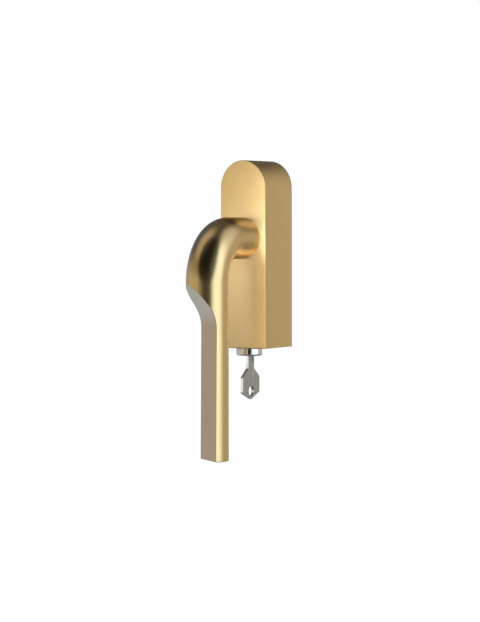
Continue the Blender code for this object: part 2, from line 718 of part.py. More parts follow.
def make_lock_cam():
    """A ring spun about the plug's axis, its top face raised into two ramps."""
    bm = bmesh.new()
    profile = rectangle(MM, CAM_BOTTOM, CAM_RADIUS, CAM_FACE)
    corners = [bm.verts.new((radius, 0, z)) for radius, z in profile]
    edges = [bm.edges.new((corners[i], corners[(i + 1) % 4])) for i in range(4)]
    bmesh.ops.spin(bm, geom=corners + edges, cent=(0, 0, 0), axis=(0, 0, 1), angle=math.tau,
                   steps=48, use_merge=True)
    bmesh.ops.remove_doubles(bm, verts=bm.verts, dist=0.000001)
    for vert in bm.verts:
        if vert.co.z > CAM_FACE - 0.1 * MM:
            vert.co.z += cam_rise(math.atan2(vert.co.y, vert.co.x))
    cam = object_from_bmesh("lock_cam", bm, Matrix.Translation((0, LOCK_Y, 0)))
    half = TAIL_HALF + 0.2 * MM
    cut(cam, box("cam_square", (-half, LOCK_Y - half, CAM_BOTTOM - MM), (half, LOCK_Y + half, -40 * MM)))
    return finish(cam, STEEL)


# ---- Locking slide ----

def make_locking_slide():
    """A flat slide: a nose for the lock disc, a window for a screwdriver, two cam feet."""
    nose = NOTCH_HALF_WIDTH - 0.3 * MM
    wide = SLIDE_HALF_WIDTH
    edge = [(-wide, SLIDE_BOTTOM), (wide, SLIDE_BOTTOM), (wide, SLIDE_SHOULDER),
            (nose, SLIDE_SHOULDER), (nose, SLIDE_NOSE), (-nose, SLIDE_NOSE),
            (-nose, SLIDE_SHOULDER), (-wide, SLIDE_SHOULDER)]
    window = rectangle(-5.4 * MM, -30.6 * MM, 5.4 * MM, -16.2 * MM)
    pocket = rectangle(-1.9 * MM, SPRING_BOTTOM - 0.3 * MM, 1.9 * MM, PEG_TOP + 0.3 * MM)
    low = LOCK_Y - SLIDE_HALF_THICKNESS
    slide = plate("locking_slide", [edge, window, pocket], "Y", low, LOCK_Y + SLIDE_HALF_THICKNESS)
    for side in (-1, 1):
        near, far = sorted((side * 3.0 * MM, side * 4.6 * MM))
        join(slide, box(f"slide_foot_{side}", (near, LOCK_Y - 0.6 * MM, FOOT_BOTTOM),
                        (far, LOCK_Y + 0.6 * MM, SLIDE_BOTTOM + MM)))
    return finish(slide, STEEL)


def make_slide_spring():
    wire = 0.2 * MM
    start = (0, LOCK_Y, SPRING_BOTTOM + wire)
    end = (0, LOCK_Y, PEG_BOTTOM - 0.3 * MM - wire)
    return finish(tube("slide_spring", coil(start, end, 1.2 * MM, 6), wire, 1), STEEL)


# ---- Key ----

def make_key():
    """A flat key: blade up in the plug, neck and six-sided bow below it."""
    blade = BLADE_HALF_WIDTH
    neck = NECK_HALF_WIDTH
    bow = BOW_HALF_WIDTH
    tip = BLADE_TIP
    point = 1.8 * MM
    right = [(0, BOW_TOP - BOW_LENGTH), (bow, BOW_TOP - BOW_SIDE_END),
             (bow, BOW_TOP - BOW_SHOULDER), (neck, BOW_TOP), (neck, NECK_TOP), (blade, NECK_TOP),
             (blade, tip - point), (blade - point, tip)]
    left = [(-y, z) for y, z in reversed(right[1:])]
    hole = circle(BOW_HOLE_RADIUS, 24, (0, BOW_TOP - BOW_LENGTH + BOW_HOLE_RISE))
    half = KEY_HALF_THICKNESS
    key = plate("key", [right + left, hole], "X", -half, half, (KEY_Y, 0))
    for index, z in enumerate(wafer_heights()):
        depth = (0.5 + 0.25 * ((index * 2) % 5)) * MM
        side = 1 if index % 2 else -1
        outer = KEY_Y + side * (blade + 0.4 * MM)
        inner = KEY_Y + side * (blade - depth)
        notch = [(outer, z - depth - 1.2 * MM), (outer, z + depth + 1.2 * MM),
                 (inner, z + 0.4 * MM), (inner, z - 0.4 * MM)]
        cut(key, plate(f"key_notch_{index + 1}", [notch], "X", -OVERSHOOT, OVERSHOOT))
    groove_depth = 0.5 * MM
    groove_y = KEY_Y + 1.3 * MM
    cut(key, box("key_groove", (half - groove_depth, groove_y, KEY_GROOVE_END),
                 (half + MM, groove_y + 0.9 * MM, tip + MM)))
    return finish(key, NICKEL)


# ---- Assembly ----

def joint_empty(name, place, parent=None):
    """An empty on a joint's axis, which the moving pieces follow."""
    empty = bpy.data.objects.new(name, None)
    empty.empty_display_size = 0.01
    bpy.data.collections[PARTS].objects.link(empty)
    empty.location = place
    bpy.context.view_layer.update()
    if parent:
        attach([empty], parent)
    return empty


def attach(pieces, empty):
    """Parent pieces to an empty without moving them."""
    bpy.context.view_layer.update()
    for piece in pieces:
        piece.parent = empty
        piece.matrix_parent_inverse = empty.matrix_world.inverted()


def build():
    clear_scene()
    fixed = [make_cover(), make_base_plate(), make_housing(), make_neck_bush(),
             make_screw("fixing_screw_upper", SCREW_OFFSET),
             make_screw("fixing_screw_lower", -SCREW_OFFSET),
             make_cover_grub(), make_lock_grub(), make_lock_cylinder(),
             *make_detent(-1, "left"), *make_detent(1, "right")]
    lever = [make_lever(), *make_spindle(), make_lock_disc(), make_detent_disc(),
             *make_washer_and_clip()]
    plug = [make_lock_plug(), *make_wafers(), make_plug_clip(), make_lock_cam()]
    slide = [make_locking_slide()]
    key = [make_key()]
    fixed.append(make_slide_spring())

    handle = joint_empty("handle", (0, 0, 0))
    lever_axis = joint_empty("lever_axis", (0, 0, 0), handle)
    plug_axis = joint_empty("plug_axis", (0, LOCK_Y, LOCK_RIM_BOTTOM), handle)
    slide_guide = joint_empty("slide_guide", (0, LOCK_Y, SLIDE_NOSE), handle)
    key_guide = joint_empty("key_guide", (0, LOCK_Y, BOW_TOP), plug_axis)
    attach(fixed, handle)
    attach(lever, lever_axis)
    attach(plug, plug_axis)
    attach(slide, slide_guide)
    attach(key, key_guide)


build()
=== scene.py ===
"""Looks of the key-lockable window handle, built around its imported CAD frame."""
import json
import math

import bmesh
import bpy
from mathutils import Matrix, Vector


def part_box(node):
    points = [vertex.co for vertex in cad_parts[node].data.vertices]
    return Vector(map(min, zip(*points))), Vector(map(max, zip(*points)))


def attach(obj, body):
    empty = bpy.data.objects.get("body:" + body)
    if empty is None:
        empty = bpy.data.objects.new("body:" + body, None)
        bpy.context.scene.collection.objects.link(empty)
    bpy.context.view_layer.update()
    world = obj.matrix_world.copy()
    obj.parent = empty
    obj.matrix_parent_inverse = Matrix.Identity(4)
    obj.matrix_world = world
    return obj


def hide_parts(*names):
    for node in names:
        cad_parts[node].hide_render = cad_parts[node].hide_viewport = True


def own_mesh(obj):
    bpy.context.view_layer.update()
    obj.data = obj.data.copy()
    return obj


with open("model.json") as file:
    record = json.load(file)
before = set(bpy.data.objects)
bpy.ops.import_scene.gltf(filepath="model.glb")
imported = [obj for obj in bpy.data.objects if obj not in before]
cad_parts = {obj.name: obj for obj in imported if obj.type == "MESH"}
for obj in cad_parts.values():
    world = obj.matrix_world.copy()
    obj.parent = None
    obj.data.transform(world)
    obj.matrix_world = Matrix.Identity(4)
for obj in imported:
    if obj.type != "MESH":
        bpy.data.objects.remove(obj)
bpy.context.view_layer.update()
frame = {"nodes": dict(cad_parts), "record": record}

MM = 0.001
scene = bpy.context.scene

# ---- Sizes: the outer ones from the frame, the finer ones in step with the CAD ----

COVER_LOW, COVER_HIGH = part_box("cover")
COVER_WALL = 1.5 * MM
COVER_HEAD_RISE = 16.8 * MM
COVER_EDGE = 0.4 * MM
COVER_GRUB_Y = -9.0 * MM
COVER_GRUB_RADIUS = 1.7 * MM
NECK_BORE = 10.2 * MM
LOCK_BORE = 6.4 * MM

LEVER_LOW, LEVER_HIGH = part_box("lever")
BAR_RADIUS = LEVER_HIGH[0]
GRIP_Y = LEVER_LOW[1] + BAR_RADIUS
LEVER_END = LEVER_LOW[2]
SHANK_END = LEVER_HIGH[1]
NECK_END = -36.7 * MM
NECK_ROUNDING = 1.2 * MM
BEND_RADIUS = 26.0 * MM
JOURNAL_RADIUS = 8.0 * MM
JOURNAL_END = -29.9 * MM
SHANK_HALF = 5.5 * MM
SOCKET_HALF = 3.65 * MM
SOCKET_FLOOR = -27.3 * MM
PIN_Y = -11.5 * MM
PIN_BORE = 1.65 * MM
CLIP_GROOVE = (-16.1 * MM, -14.5 * MM)
CLIP_GROOVE_RADIUS = 6.7 * MM
FLAT_TURN = math.radians(40.0)
FLAT_TOP_OFFSET = -1.0 * MM
FLAT_END_OFFSET = -0.4 * MM
FLAT_RAMP_TOP = -27.2 * MM
FLAT_RAMP_SLOPE = math.radians(36.7)
FLAT_ARC_RADIUS = 22.0 * MM
FLAT_EDGE = 0.16 * MM
END_ROUNDING = 0.4 * MM

RIM_LOW, RIM_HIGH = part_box("lock_cylinder")
LOCK_Y = (RIM_LOW[1] + RIM_HIGH[1]) / 2
RIM_RADIUS = RIM_HIGH[0]
RIM_EDGE_DROP = 1.2 * MM
RIM_FACE_RADIUS = 5.7 * MM
RIM_TOP = COVER_LOW[2] - 0.3 * MM
BARREL_RADIUS = 6.1 * MM
PLUG_BORE = 5.15 * MM

KEY_LOW, KEY_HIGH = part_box("key")
KEY_HALF_THICKNESS = KEY_HIGH[0]
KEY_Y = (KEY_LOW[1] + KEY_HIGH[1]) / 2
BOW_HALF_WIDTH = (KEY_HIGH[1] - KEY_LOW[1]) / 2
BLADE_TIP = KEY_HIGH[2]
BLADE_HALF_WIDTH = 3.0 * MM
KEY_NECK_HALF = 3.75 * MM
KEY_NECK_TOP = -71.45 * MM
BOW_LENGTH = 18.7 * MM
BOW_TOP = KEY_LOW[2] + BOW_LENGTH
BOW_SHOULDER = 5.1 * MM
BOW_SIDE_END = 14.5 * MM
BOW_HOLE_RADIUS = 3.25 * MM
BOW_HOLE_RISE = 5.0 * MM
KEY_GROOVE_END = -75.8 * MM
KEY_EDGE = 0.12 * MM
WAFER_HEIGHTS = [(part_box(f"wafer_{n}")[0][2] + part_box(f"wafer_{n}")[1][2]) / 2 for n in range(1, 6)]

SPRING_LOW, SPRING_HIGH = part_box("slide_spring")
SPRING_WIRE = 0.2 * MM
SPRING_TURNS = 6
SPRING_STEPS = 24
SPRING_SIDES = 8
UP = Vector((0, 0, 1))

BASE_LOW, BASE_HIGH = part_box("base_plate")
BASE_FRONT = -3.0 * MM
BASE_HEAD_RISE = 14.8 * MM
SPINDLE_CLEARANCE = 6.0 * MM
SPIGOT_RADIUS = 5.0 * MM
SPIGOT_EDGE = 0.4 * MM
SCREW_HEIGHT = 21.5 * MM
SCREW_CLEARANCE = 2.7 * MM
SCREW_PITCH = 0.8 * MM
SCREW_RADIUS = 2.5 * MM
SCREW_SEAT = -8.3 * MM
THREAD_DEPTH = 0.42 * MM
SCREW_TIP_RADIUS = 1.1 * MM


# ---- Materials ----

class Look:
    """A material's node tree, with short ways to add and link nodes."""

    def __init__(self, name):
        self.material = bpy.data.materials.new(name)
        self.material.use_nodes = True
        self.nodes = self.material.node_tree.nodes
        self.links = self.material.node_tree.links
        self.shader = self.nodes["Principled BSDF"]

    def add(self, kind, settings=None, **values):
        """A node with its settings and its sockets' values or incoming links."""
        node = self.nodes.new(kind)
        for key, value in (settings or {}).items():
            setattr(node, key, value)
        for key, value in values.items():
            self.feed(node.inputs[key.replace("_", " ")], value)
        return node

    def feed(self, socket, value):
        if isinstance(value, bpy.types.NodeSocket):
            self.links.new(value, socket)
        else:
            socket.default_value = value

    def noise(self, scale, stretch=(1.0, 1.0, 1.0), detail=4.0, roughness=0.55):
        """Noise over the piece's own coordinates, in features a metre, stretched per axis."""
        place = self.add("ShaderNodeTexCoord")
        mapping = self.add("ShaderNodeMapping", Vector=place.outputs["Object"], Scale=stretch)
        node = self.add("ShaderNodeTexNoise", Vector=mapping.outputs["Vector"], Scale=scale,
                        Detail=detail, Roughness=roughness)
        return node.outputs["Fac"]

    def span(self, value, low, high, to_low=0.0, to_high=1.0):
        """Map a range of a value to another range, clamped."""
        node = self.nodes.new("ShaderNodeMapRange")
        self.feed(node.inputs["Value"], value)
        for index, number in enumerate((low, high, to_low, to_high), start=1):
            node.inputs[index].default_value = number
        return node.outputs["Result"]

    def blend(self, amount, first, second):
        """Mix two colours."""
        node = self.nodes.new("ShaderNodeMix")
        node.data_type = "RGBA"
        self.feed(node.inputs[0], amount)
        for socket, colour in ((node.inputs[6], first), (node.inputs[7], second)):
            self.feed(socket, colour if isinstance(colour, bpy.types.NodeSocket) else (*colour, 1.0))
        return node.outputs[2]


def metal(name, colour, shade, roughness, grain, bump, spread=0.06, anisotropy=0.0,
          worn=None, cloud_scale=45.0):
    """Metal with fine grain, a slow change of colour and gloss, and rubbed edges.

    grain is (features a metre, stretch); bump is the grain's depth in metres.
    """
    look = Look(name)
    scale, stretch = grain
    fine = look.noise(scale, stretch, 5.0, 0.6)
    cloud = look.noise(cloud_scale, (1.0, 1.0, 0.45), 3.0)
    base = look.blend(look.span(cloud, 0.3, 0.7), colour, shade)
    darker = tuple(0.86 * value for value in colour)
    base = look.blend(look.span(fine, 0.45, 0.72, 0.0, 0.35), base, darker)
    edge = look.add("ShaderNodeNewGeometry").outputs["Pointiness"]
    rubbed = look.span(edge, 0.52, 0.62, 0.0, 0.55)
    base = look.blend(rubbed, base, worn or tuple(min(1.0, 1.15 * value) for value in colour))
    look.feed(look.shader.inputs["Base Color"], base)
    rough = look.span(fine, 0.3, 0.7, roughness - spread, roughness + spread)
    slow = look.span(cloud, 0.3, 0.7, -0.5 * spread, 0.5 * spread)
    total = look.add("ShaderNodeMath", {"operation": "ADD"})
    look.feed(total.inputs[0], rough)
    look.feed(total.inputs[1], slow)
    look.feed(look.shader.inputs["Roughness"], total.outputs[0])
    look.shader.inputs["Metallic"].default_value = 1.0
    if anisotropy:
        look.shader.inputs["Anisotropic"].default_value = anisotropy
        tangent = look.add("ShaderNodeTangent", {"direction_type": "RADIAL", "axis": "Z"})
        look.feed(look.shader.inputs["Tangent"], tangent.outputs["Tangent"])
    relief = look.add("ShaderNodeBump", Height=fine, Distance=bump, Strength=1.0)
    look.feed(look.shader.inputs["Normal"], relief.outputs["Normal"])
    return look.material


def nylon(name):
    """Black moulded nylon with a fine spark-eroded texture."""
    look = Look(name)
    grain = look.noise(9000.0, detail=3.0)
    cloud = look.noise(120.0)
    look.feed(look.shader.inputs["Base Color"],
              look.blend(cloud, (0.018, 0.018, 0.019), (0.035, 0.034, 0.033)))
    look.feed(look.shader.inputs["Roughness"], look.span(grain, 0.3, 0.7, 0.38, 0.55))
    relief = look.add("ShaderNodeBump", Height=grain, Distance=0.00002, Strength=0.6)
    look.feed(look.shader.inputs["Normal"], relief.outputs["Normal"])
    return look.material


ALONG_Z = (1.0, 1.0, 0.018)
EVEN = (1.0, 1.0, 1.0)

BRASS_COVER = metal("brushed_brass", (0.84, 0.585, 0.265), (0.80, 0.56, 0.26), 0.36,
                    (2600.0, ALONG_Z), 0.0000016, anisotropy=0.35, worn=(0.95, 0.76, 0.45))
BRASS_LEVER = metal("satin_brass", (0.84, 0.625, 0.315), (0.80, 0.59, 0.30), 0.25,
                    (2600.0, (1.0, 1.0, 0.03)), 0.00000025, spread=0.03, worn=(0.95, 0.80, 0.52))
CHROME = metal("polished_chrome", (0.86, 0.86, 0.87), (0.82, 0.82, 0.84), 0.07,
               (5000.0, EVEN), 0.0000002, spread=0.03)
PLUG_CHROME = metal("satin_chrome", (0.72, 0.72, 0.73), (0.64, 0.64, 0.66), 0.24,
                    (3000.0, EVEN), 0.000001)
NICKEL = metal("tumbled_nickel", (0.52, 0.53, 0.545), (0.46, 0.47, 0.485), 0.42,
               (4200.0, EVEN), 0.000004, worn=(0.80, 0.80, 0.79), cloud_scale=160.0)
WAFER_BRASS = metal("stamped_brass", (0.74, 0.53, 0.22), (0.62, 0.43, 0.17), 0.32,
                    (3800.0, EVEN), 0.000002)
STEEL = metal("zinc_plated_steel", (0.62, 0.63, 0.65), (0.52, 0.52, 0.56), 0.33,
              (3600.0, EVEN), 0.000003, cloud_scale=260.0)
ZINC = metal("die_cast_zinc", (0.47, 0.48, 0.49), (0.38, 0.39, 0.40), 0.52,
             (1600.0, EVEN), 0.000022, cloud_scale=180.0, worn=(0.66, 0.67, 0.68))
NYLON = nylon("black_nylon")

LOOK_OF_SLOT = {
    "cover_brass": BRASS_COVER, "lever_brass": BRASS_LEVER, "chrome_rim": CHROME,
    "plug_chrome": PLUG_CHROME, "key_nickel": NICKEL, "wafer_brass": WAFER_BRASS,
    "steel": STEEL, "zinc_casting": ZINC, "black_nylon": NYLON,
}


def paint_cad_nodes():
    """Give every CAD node the look of its material slot."""
    for part in frame["record"]["subparts"]:
        node = frame["nodes"][part["node"]]
        node.data.materials.clear()
        node.data.materials.append(LOOK_OF_SLOT[part["material_slot"]])


# ---- Mesh helpers ----

def add_piece(name, bm):
    """Turn a bmesh into a smooth-shaded object."""
    bmesh.ops.recalc_face_normals(bm, faces=bm.faces)
    mesh = bpy.data.meshes.new(name)
    bm.to_mesh(mesh)
    bm.free()
    piece = bpy.data.objects.new(name, mesh)
    scene.collection.objects.link(piece)
    return piece


def settle(piece, slot, body, *nodes, sharp=35.0, even=True):
    """Apply a piece's modifiers, shade it, give it its look and body, and hide the CAD nodes it
    replaces.
    """
    bpy.context.view_layer.update()
    depsgraph = bpy.context.evaluated_depsgraph_get()
    mesh = bpy.data.meshes.new_from_object(piece.evaluated_get(depsgraph))
    piece.modifiers.clear()
    piece.data = mesh
    mesh.shade_smooth()
    mesh.set_sharp_from_angle(angle=math.radians(sharp))
    if even:
        normals = piece.modifiers.new("even_shading", "WEIGHTED_NORMAL")
        normals.keep_sharp = True
        normals.weight = 80
    mesh.materials.clear()
    mesh.materials.append(LOOK_OF_SLOT[slot])
    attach(piece, body)
    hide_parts(*nodes)
    return piece


def loft(rings, close=False):
    """A skin over rings of equal point counts, filled at both ends unless closed."""
    bm = bmesh.new()
    loops = [[bm.verts.new(point) for point in ring] for ring in rings]
    count = len(loops[0])
    pairs = list(zip(loops, loops[1:])) + ([(loops[-1], loops[0])] if close else [])
    for lower, upper in pairs:
        for index in range(count):
            after = (index + 1) % count
            bm.faces.new((lower[index], lower[after], upper[after], upper[index]))
    if not close:
        for loop in (loops[0], loops[-1]):
            centre = sum((vert.co for vert in loop), Vector()) / count
            middle = bm.verts.new(centre)
            for index in range(count):
                bm.faces.new((loop[index], loop[(index + 1) % count], middle))
    return bm


def lathe(profile, centre, facing, steps=96):
    """A closed turned ring: profile holds (radius, height) pairs."""
    rings = []
    for index in range(steps):
        angle = math.tau * index / steps
        ring = []
        for radius, height in profile:
            across, up = radius * math.cos(angle), radius * math.sin(angle)
            place = (across, up, height) if facing == "up" else (across, -height, up)
            ring.append(Vector(centre) + Vector(place))
        rings.append(ring)
    return loft(rings, close=True)


def arc(radius, start, end, steps, centre=(0.0, 0.0)):
    """Points along an arc, angles in radians."""
    angles = [start + (end - start) * step / steps for step in range(steps + 1)]
    return [(centre[0] + radius * math.cos(a), centre[1] + radius * math.sin(a)) for a in angles]


def fillet(points, radius, steps=5):
    """Round every corner of a closed outline; radius may be a list, one for each corner."""
    rounded = []
    count = len(points)
    for index, corner in enumerate(points):
        size = radius[index] if isinstance(radius, list) else radius
        corner = Vector(corner)
        before = Vector(points[index - 1]) - corner
        after = Vector(points[(index + 1) % count]) - corner
        if size <= 0.0:
            rounded.append(tuple(corner))
            continue
        half = before.angle(after) / 2
        reach = min(size / math.tan(half), before.length * 0.48, after.length * 0.48)
        start = corner + before.normalized() * reach
        end = corner + after.normalized() * reach
        for step in range(steps + 1):
            t = step / steps
            rounded.append(tuple((1 - t) ** 2 * start + 2 * t * (1 - t) * corner + t * t * end))
    return rounded


TO_FRAME = {
    "Y": lambda u, v, depth: (u, depth, v),
    "X": lambda u, v, depth: (depth, u, v),
    "Z": lambda u, v, depth: (u, v, depth),
}


def slab(name, outline, normal, low, high, edge=0.0):
    """A plate with its outline swept from low to high, its edges rounded at both ends."""
    bm = bmesh.new()
    verts = [bm.verts.new(TO_FRAME[normal](u, v, low)) for u, v in outline]
    face = bm.faces.new(verts)
    grown = bmesh.ops.extrude_face_region(bm, geom=[face])["geom"]
    moved = [item for item in grown if isinstance(item, bmesh.types.BMVert)]
    shift = Vector(TO_FRAME[normal](0.0, 0.0, high - low))
    bmesh.ops.translate(bm, vec=shift, verts=moved)
    bmesh.ops.recalc_face_normals(bm, faces=bm.faces)
    if edge:
        rim = [e for e in bm.edges if e.calc_face_angle(0.0) > math.radians(50.0)]
        bmesh.ops.bevel(bm, geom=rim, offset=edge, segments=3, profile=0.5, affect="EDGES",
                        clamp_overlap=True)
    return add_piece(name, bm)


def rod(name, radius, start, end, steps=64):
    """A round cutter between two points."""
    start, end = Vector(start), Vector(end)
    bm = bmesh.new()
    turn = UP.rotation_difference(end - start).to_matrix().to_4x4()
    place = Matrix.Translation((start + end) / 2) @ turn
    bmesh.ops.create_cone(bm, cap_ends=True, segments=steps, radius1=radius, radius2=radius,
                          depth=(end - start).length, matrix=place)
    return add_piece(name, bm)


def block(name, low, high):
    """A square-edged cutter between two corners."""
    return slab(name, [(low[0], low[2]), (high[0], low[2]), (high[0], high[2]), (low[0], high[2])],
                "Y", low[1], high[1])


def carve(piece, *tools, operation="DIFFERENCE"):
    """Cut tools out of a piece, or join them to it, and remove them."""
    for tool in tools:
        step = piece.modifiers.new(tool.name, "BOOLEAN")
        step.operation = operation
        step.solver = "EXACT"
        step.object = tool
    bpy.context.view_layer.update()
    depsgraph = bpy.context.evaluated_depsgraph_get()
    piece.data = bpy.data.meshes.new_from_object(piece.evaluated_get(depsgraph))
    piece.modifiers.clear()
    for tool in tools:
        bpy.data.objects.remove(tool, do_unlink=True)


def soften(piece, width):
    """Round a piece's sharp edges with a small bevel."""
    bevel = piece.modifiers.new("edge_rounding", "BEVEL")
    bevel.width = width
    bevel.segments = 2
    bevel.limit_method = "ANGLE"
    bevel.angle_limit = math.radians(40.0)
    bevel.harden_normals = False
    bevel.use_clamp_overlap = True


# ---- Fixed pieces ----

def headed_outline(half_width, bottom, top, rise, foot_radius, steps=96):
    """A square foot with small round corners and a half-ellipse head."""
    foot = fillet([(-half_width, top - rise), (-half_width, bottom), (half_width, bottom),
                   (half_width, top - rise)], [0.0, foot_radius, foot_radius, 0.0])
    head = [(half_width * x, top - rise + rise * z) for x, z in arc(1.0, 0.0, math.pi, steps)]
    return foot[1:-1] + head


def make_cover():
    """The brushed brass cover: one deep shell, open at the back."""
    half_width, top, bottom, front = COVER_HIGH[0], COVER_HIGH[2], COVER_LOW[2], COVER_LOW[1]
    outline = headed_outline(half_width, bottom, top, COVER_HEAD_RISE, COVER_EDGE)
    bm = bmesh.new()
    verts = [bm.verts.new((x, front, z)) for x, z in outline]
    face = bm.faces.new(verts)
    grown = bmesh.ops.extrude_face_region(bm, geom=[face])["geom"]
    bmesh.ops.translate(bm, vec=(0, COVER_HIGH[1] - front, 0),
                        verts=[item for item in grown if isinstance(item, bmesh.types.BMVert)])
    bmesh.ops.recalc_face_normals(bm, faces=bm.faces)
    rim = [e for e in bm.edges if all(abs(v.co.y - front) < 1e-6 for v in e.verts)]
    bmesh.ops.bevel(bm, geom=rim, offset=COVER_EDGE, segments=4, profile=0.5, affect="EDGES")
    cover = add_piece("cover_shell", bm)
    inside = headed_outline(half_width - COVER_WALL, bottom + COVER_WALL, top - COVER_WALL,
                            COVER_HEAD_RISE - COVER_WALL, COVER_EDGE, 64)
    foot, sole = bottom - 2 * MM, bottom + 4 * MM
    carve(cover,
          slab("hollow", inside, "Y", front + COVER_WALL, 2 * MM),
          rod("neck_hole", NECK_BORE, (0, front - 2 * MM, 0), (0, front + 4 * MM, 0), 80),
          rod("lock_hole", LOCK_BORE, (0, LOCK_Y, foot), (0, LOCK_Y, sole)),
          rod("grub_hole", COVER_GRUB_RADIUS, (0, COVER_GRUB_Y, foot), (0, COVER_GRUB_Y, sole), 32))
    return settle(cover, "cover_brass", "fixed_body", "cover")


def make_lock_barrel():
    """The chrome cylinder: a rim with a rounded lower edge and a long barrel above it."""
    low, high = RIM_LOW[2], RIM_HIGH[2]
    width = RIM_RADIUS - RIM_FACE_RADIUS
    crown = [(RIM_FACE_RADIUS + width * x, low + RIM_EDGE_DROP + RIM_EDGE_DROP * z)
             for x, z in arc(1.0, 0.0, -math.pi / 2, 12)]
    edge = 0.15 * MM
    mouth = arc(edge, -math.pi / 2, -math.pi, 4, (PLUG_BORE + edge, low + edge))
    brow = arc(edge, math.pi / 2, 0.0, 4, (RIM_RADIUS - edge, RIM_TOP - edge))
    profile = [(PLUG_BORE, high), (BARREL_RADIUS, high), (BARREL_RADIUS, RIM_TOP),
               *brow, *crown, *mouth]
    piece = add_piece("lock_barrel", lathe(profile, (0, LOCK_Y, 0), "up"))
    return settle(piece, "chrome_rim", "fixed_body", "lock_cylinder")


def make_base_plate():
    """The die-cast base plate with its two spigots."""
    outline = headed_outline(BASE_HIGH[0], BASE_LOW[2], BASE_HIGH[2], BASE_HEAD_RISE, 0.6 * MM, 48)
    base = slab("base_casting", outline, "Y", BASE_FRONT, 0.0, 0.25 * MM)
    spigots = []
    holes = [rod("spindle_clearance", SPINDLE_CLEARANCE, (0, -5 * MM, 0), (0, 5 * MM, 0))]
    tip = BASE_HIGH[1]
    profile = [(SCREW_CLEARANCE, -tip), (SPIGOT_RADIUS - SPIGOT_EDGE, -tip),
               (SPIGOT_RADIUS, -tip + SPIGOT_EDGE), (SPIGOT_RADIUS, MM), (SCREW_CLEARANCE, MM)]
    for side in (-1, 1):
        z = side * SCREW_HEIGHT
        spigots.append(add_piece(f"spigot_{side}", lathe(profile, (0, 0, z), "front", 64)))
        holes.append(rod(f"screw_hole_{side}", SCREW_CLEARANCE, (0, -9 * MM, z), (0, 9 * MM, z)))
    carve(base, *spigots, operation="UNION")
    carve(base, *holes)
    return settle(base, "zinc_casting", "fixed_body", "base_plate")


def make_screw(name, node):
    """A pan-head screw with a rolled thread and a cross recess."""
    low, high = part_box(node)
    z = (low[2] + high[2]) / 2
    head_front, tip = low[1], high[1]
    head_radius = high[0]
    steps, per_turn = 24, 8
    head = [(0.01 * MM, head_front), (2.2 * MM, head_front), (3.4 * MM, head_front + 0.25 * MM),
            (4.2 * MM, head_front + 0.8 * MM), (head_radius, head_front + 1.5 * MM),
            (head_radius, SCREW_SEAT - 0.1 * MM), (head_radius - 0.1 * MM, SCREW_SEAT),
            (SCREW_RADIUS, SCREW_SEAT), (SCREW_RADIUS, SCREW_SEAT + MM)]
    angles = [math.tau * i / steps for i in range(steps)]

    def circle(radius, y):
        return [(radius * math.cos(angle), y, z + radius * math.sin(angle)) for angle in angles]

    rings = [circle(radius, y) for radius, y in head]
    start = SCREW_SEAT + MM
    taper = 1.6 * MM
    turns = (tip - 0.3 * MM - start) / SCREW_PITCH
    for row in range(int(turns * per_turn) + 1):
        y = start + row * SCREW_PITCH / per_turn
        ring = []
        for i in range(steps):
            phase = (row / per_turn - i / steps) % 1.0
            crest = abs(2 * phase - 1)
            lead = min(1.0, (y - start) / MM)
            radius = SCREW_RADIUS - THREAD_DEPTH * lead * (1 - crest)
            radius = min(radius, 1.3 * MM + (tip - y) * 1.2 * MM / taper)
            ring.append((radius * math.cos(angles[i]), y, z + radius * math.sin(angles[i])))
        rings.append(ring)
    rings.append(circle(SCREW_TIP_RADIUS, tip))
    screw = add_piece(name, loft(rings))
    long, short = 2.4 * MM, 0.5 * MM
    floor = head_front + 1.8 * MM
    carve(screw,
          block("cross_a", (-long, head_front - MM, z - short), (long, floor, z + short)),
          block("cross_b", (-short, head_front - MM, z - long), (short, floor, z + long)))
    return settle(screw, "steel", "fixed_body", node, even=False)


# ---- Lever ----

def flat_height(z):
    """Distance of the grip's cut face from the bar's axis, at a height."""
    slope = math.tan(FLAT_RAMP_SLOPE)
    arc_top = FLAT_TOP_OFFSET + FLAT_ARC_RADIUS * (1 - math.cos(FLAT_RAMP_SLOPE))
    arc_top_z = FLAT_RAMP_TOP - (BAR_RADIUS - arc_top) / slope
    arc_z = arc_top_z - FLAT_ARC_RADIUS * math.sin(FLAT_RAMP_SLOPE)
    if z > arc_top_z:
        return BAR_RADIUS - (FLAT_RAMP_TOP - z) * slope
    if z > arc_z:
        return FLAT_TOP_OFFSET + FLAT_ARC_RADIUS - math.sqrt(FLAT_ARC_RADIUS ** 2 - (z - arc_z) ** 2)
    return FLAT_TOP_OFFSET + (FLAT_END_OFFSET - FLAT_TOP_OFFSET) * (arc_z - z) / (arc_z - LEVER_END)


